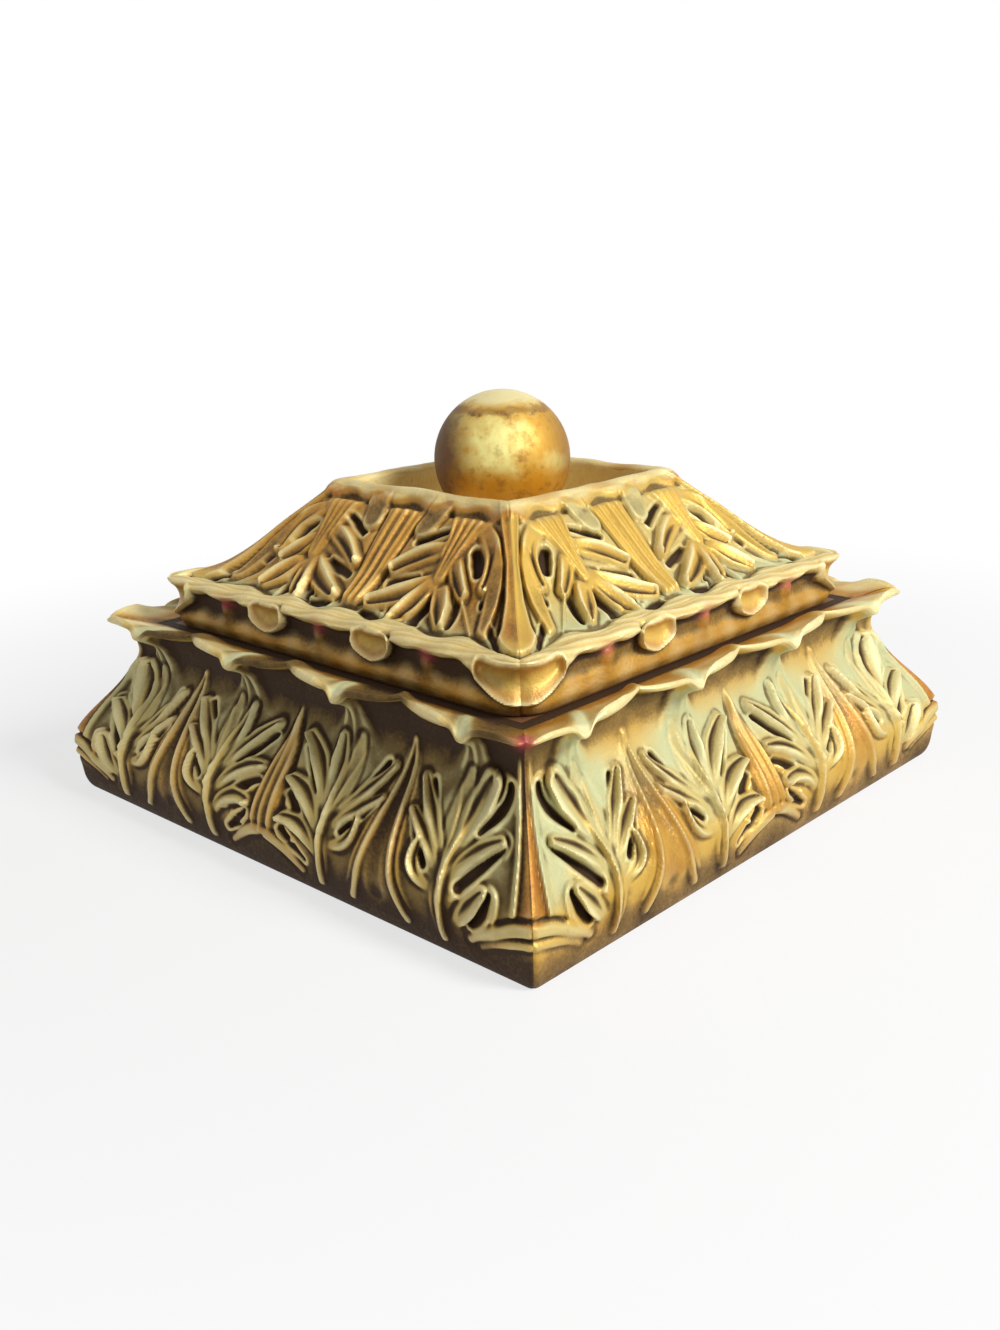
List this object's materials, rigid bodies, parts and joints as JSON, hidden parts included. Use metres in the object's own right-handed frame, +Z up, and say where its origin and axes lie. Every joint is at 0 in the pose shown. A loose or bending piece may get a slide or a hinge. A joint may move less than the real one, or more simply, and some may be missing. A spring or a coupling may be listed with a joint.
{
  "type": "trinket box",
  "caption": "Square carved and gilded wooden trinket box with a scalloped lift-off pyramid lid and a ball knob in a square recess.",
  "frame": {"origin": "on the surface that the box stands on, under its middle", "axes": "+Z up through the middle of the box and the ball; +X and +Y square to the sides, with the picture's near corner between +X and -Y"},
  "size_m": [0.1508, 0.1508, 0.0914],
  "materials": {
    "gilded_body": "carved wood, water gilded over red bole, with a sage-grey wash and dark umber in the hollows",
    "gilded_lid": "carved wood, water gilded over red bole, with a sage-grey wash and dark umber in the hollows",
    "gilded_panel": "gilded board with a pale wash",
    "gilded_ball": "turned wood, burnished gold leaf with fine overlap marks and rubbed patches",
    "plain_wood": "stained hardwood, wiped with oil",
    "lining_felt": "wool felt, matt",
    "baize": "wool baize, matt",
    "screw_brass": "drawn brass, slightly dulled"
  },
  "bodies": {
    "box_body": {"body_side_right": "gilded_body", "body_side_back": "gilded_body", "body_side_left": "gilded_body", "body_side_front": "gilded_body", "bottom_panel": "plain_wood", "floor_lining": "lining_felt", "base_baize": "baize"},
    "lid": {"lid_side_right": "gilded_lid", "lid_side_back": "gilded_lid", "lid_side_left": "gilded_lid", "lid_side_front": "gilded_lid", "lid_top_panel": "gilded_panel", "lip_strip_right": "plain_wood", "lip_strip_back": "plain_wood", "lip_strip_left": "plain_wood", "lip_strip_front": "plain_wood", "ball_knob": "gilded_ball", "knob_washer": "screw_brass", "knob_screw": "screw_brass"}
  },
  "joints": [
    {"name": "lid_lift", "type": "slide", "parent": "box_body", "child": "lid", "axis": [0, 0, 1], "range_m": [0, 0.08]}
  ]
}
